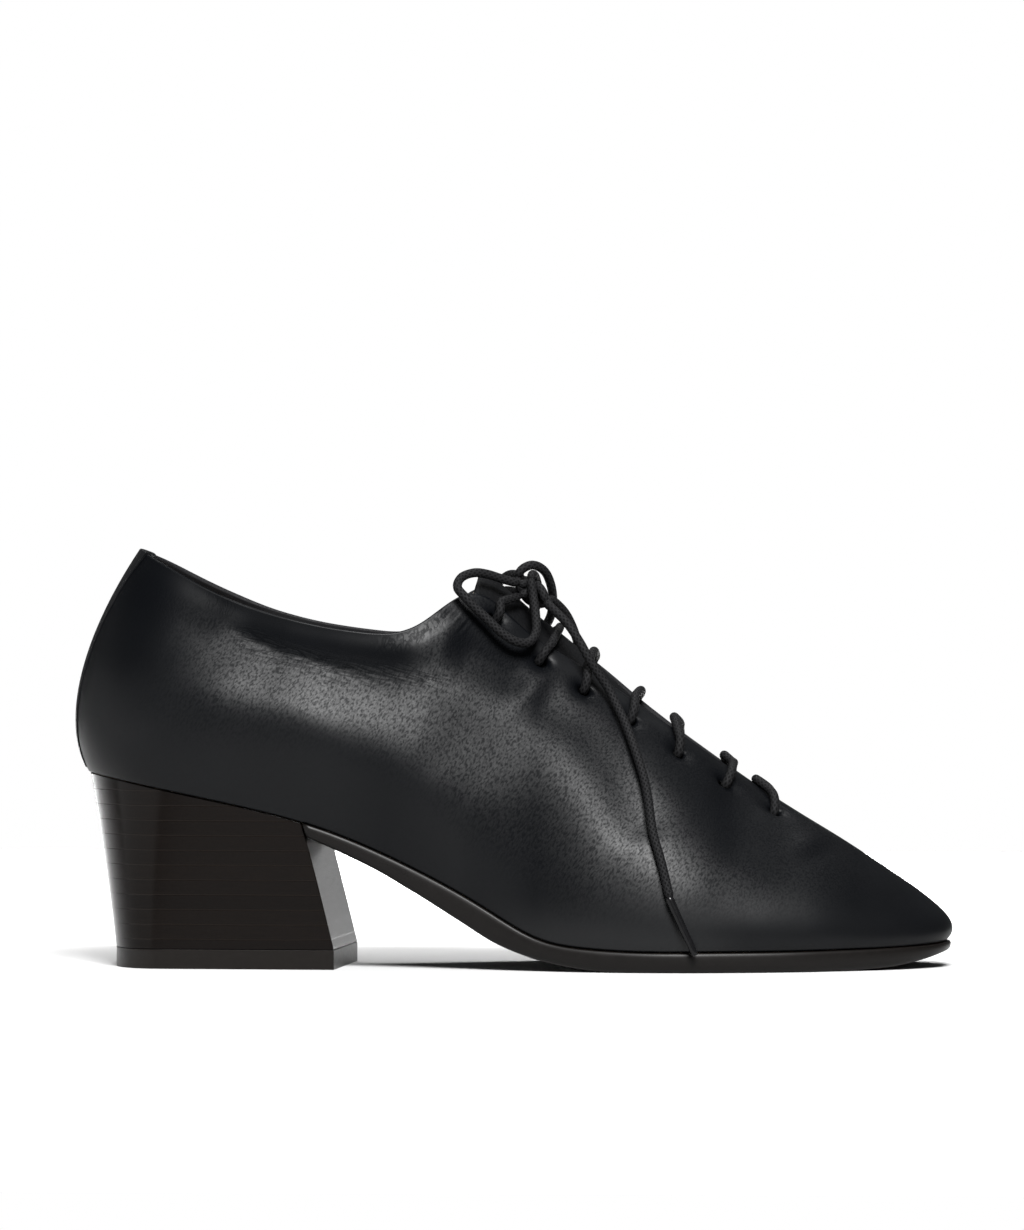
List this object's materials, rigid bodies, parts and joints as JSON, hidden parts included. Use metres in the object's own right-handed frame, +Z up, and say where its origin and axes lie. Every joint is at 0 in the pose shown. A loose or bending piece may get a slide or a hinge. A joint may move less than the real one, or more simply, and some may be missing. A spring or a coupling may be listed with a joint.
{
  "type": "heeled derby shoe",
  "caption": "Black leather derby shoe on a block heel, laced through punched eyelets with a round cord tied in a bow.",
  "frame": {"origin": "middle of the shoe's box on the floor, lace knot and ends not counted", "axes": "+X to the toe, -Y to the outer side of the foot, +Z up"},
  "size_m": [0.2511, 0.0844, 0.1195],
  "materials": {
    "upper_leather": "fine pebbled grain, satin",
    "insole_leather": "smooth, matt",
    "sole_edge": "dyed and burnished edge",
    "heel_stack": "polished dark stack",
    "top_lift_rubber": "matt",
    "lace_cord": "waxed round braid",
    "aglet_plastic": "gloss"
  },
  "bodies": {
    "root": {"upper": "upper_leather", "back_strip": "upper_leather", "tongue": "upper_leather", "insole": "insole_leather", "outsole": "sole_edge", "heel": "heel_stack", "top_lift": "top_lift_rubber", "lace_bar_1": "lace_cord", "lace_bar_2": "lace_cord", "lace_bar_3": "lace_cord", "lace_bar_4": "lace_cord", "lace_bar_5": "lace_cord", "lace_bar_6": "lace_cord", "lace_lead_outer": "lace_cord", "lace_lead_inner": "lace_cord", "lace_knot": "lace_cord", "lace_loop_outer": "lace_cord", "lace_loop_inner": "lace_cord", "lace_end_outer": "lace_cord", "lace_end_inner": "lace_cord", "aglet_outer": "aglet_plastic", "aglet_inner": "aglet_plastic"}
  },
  "joints": []
}
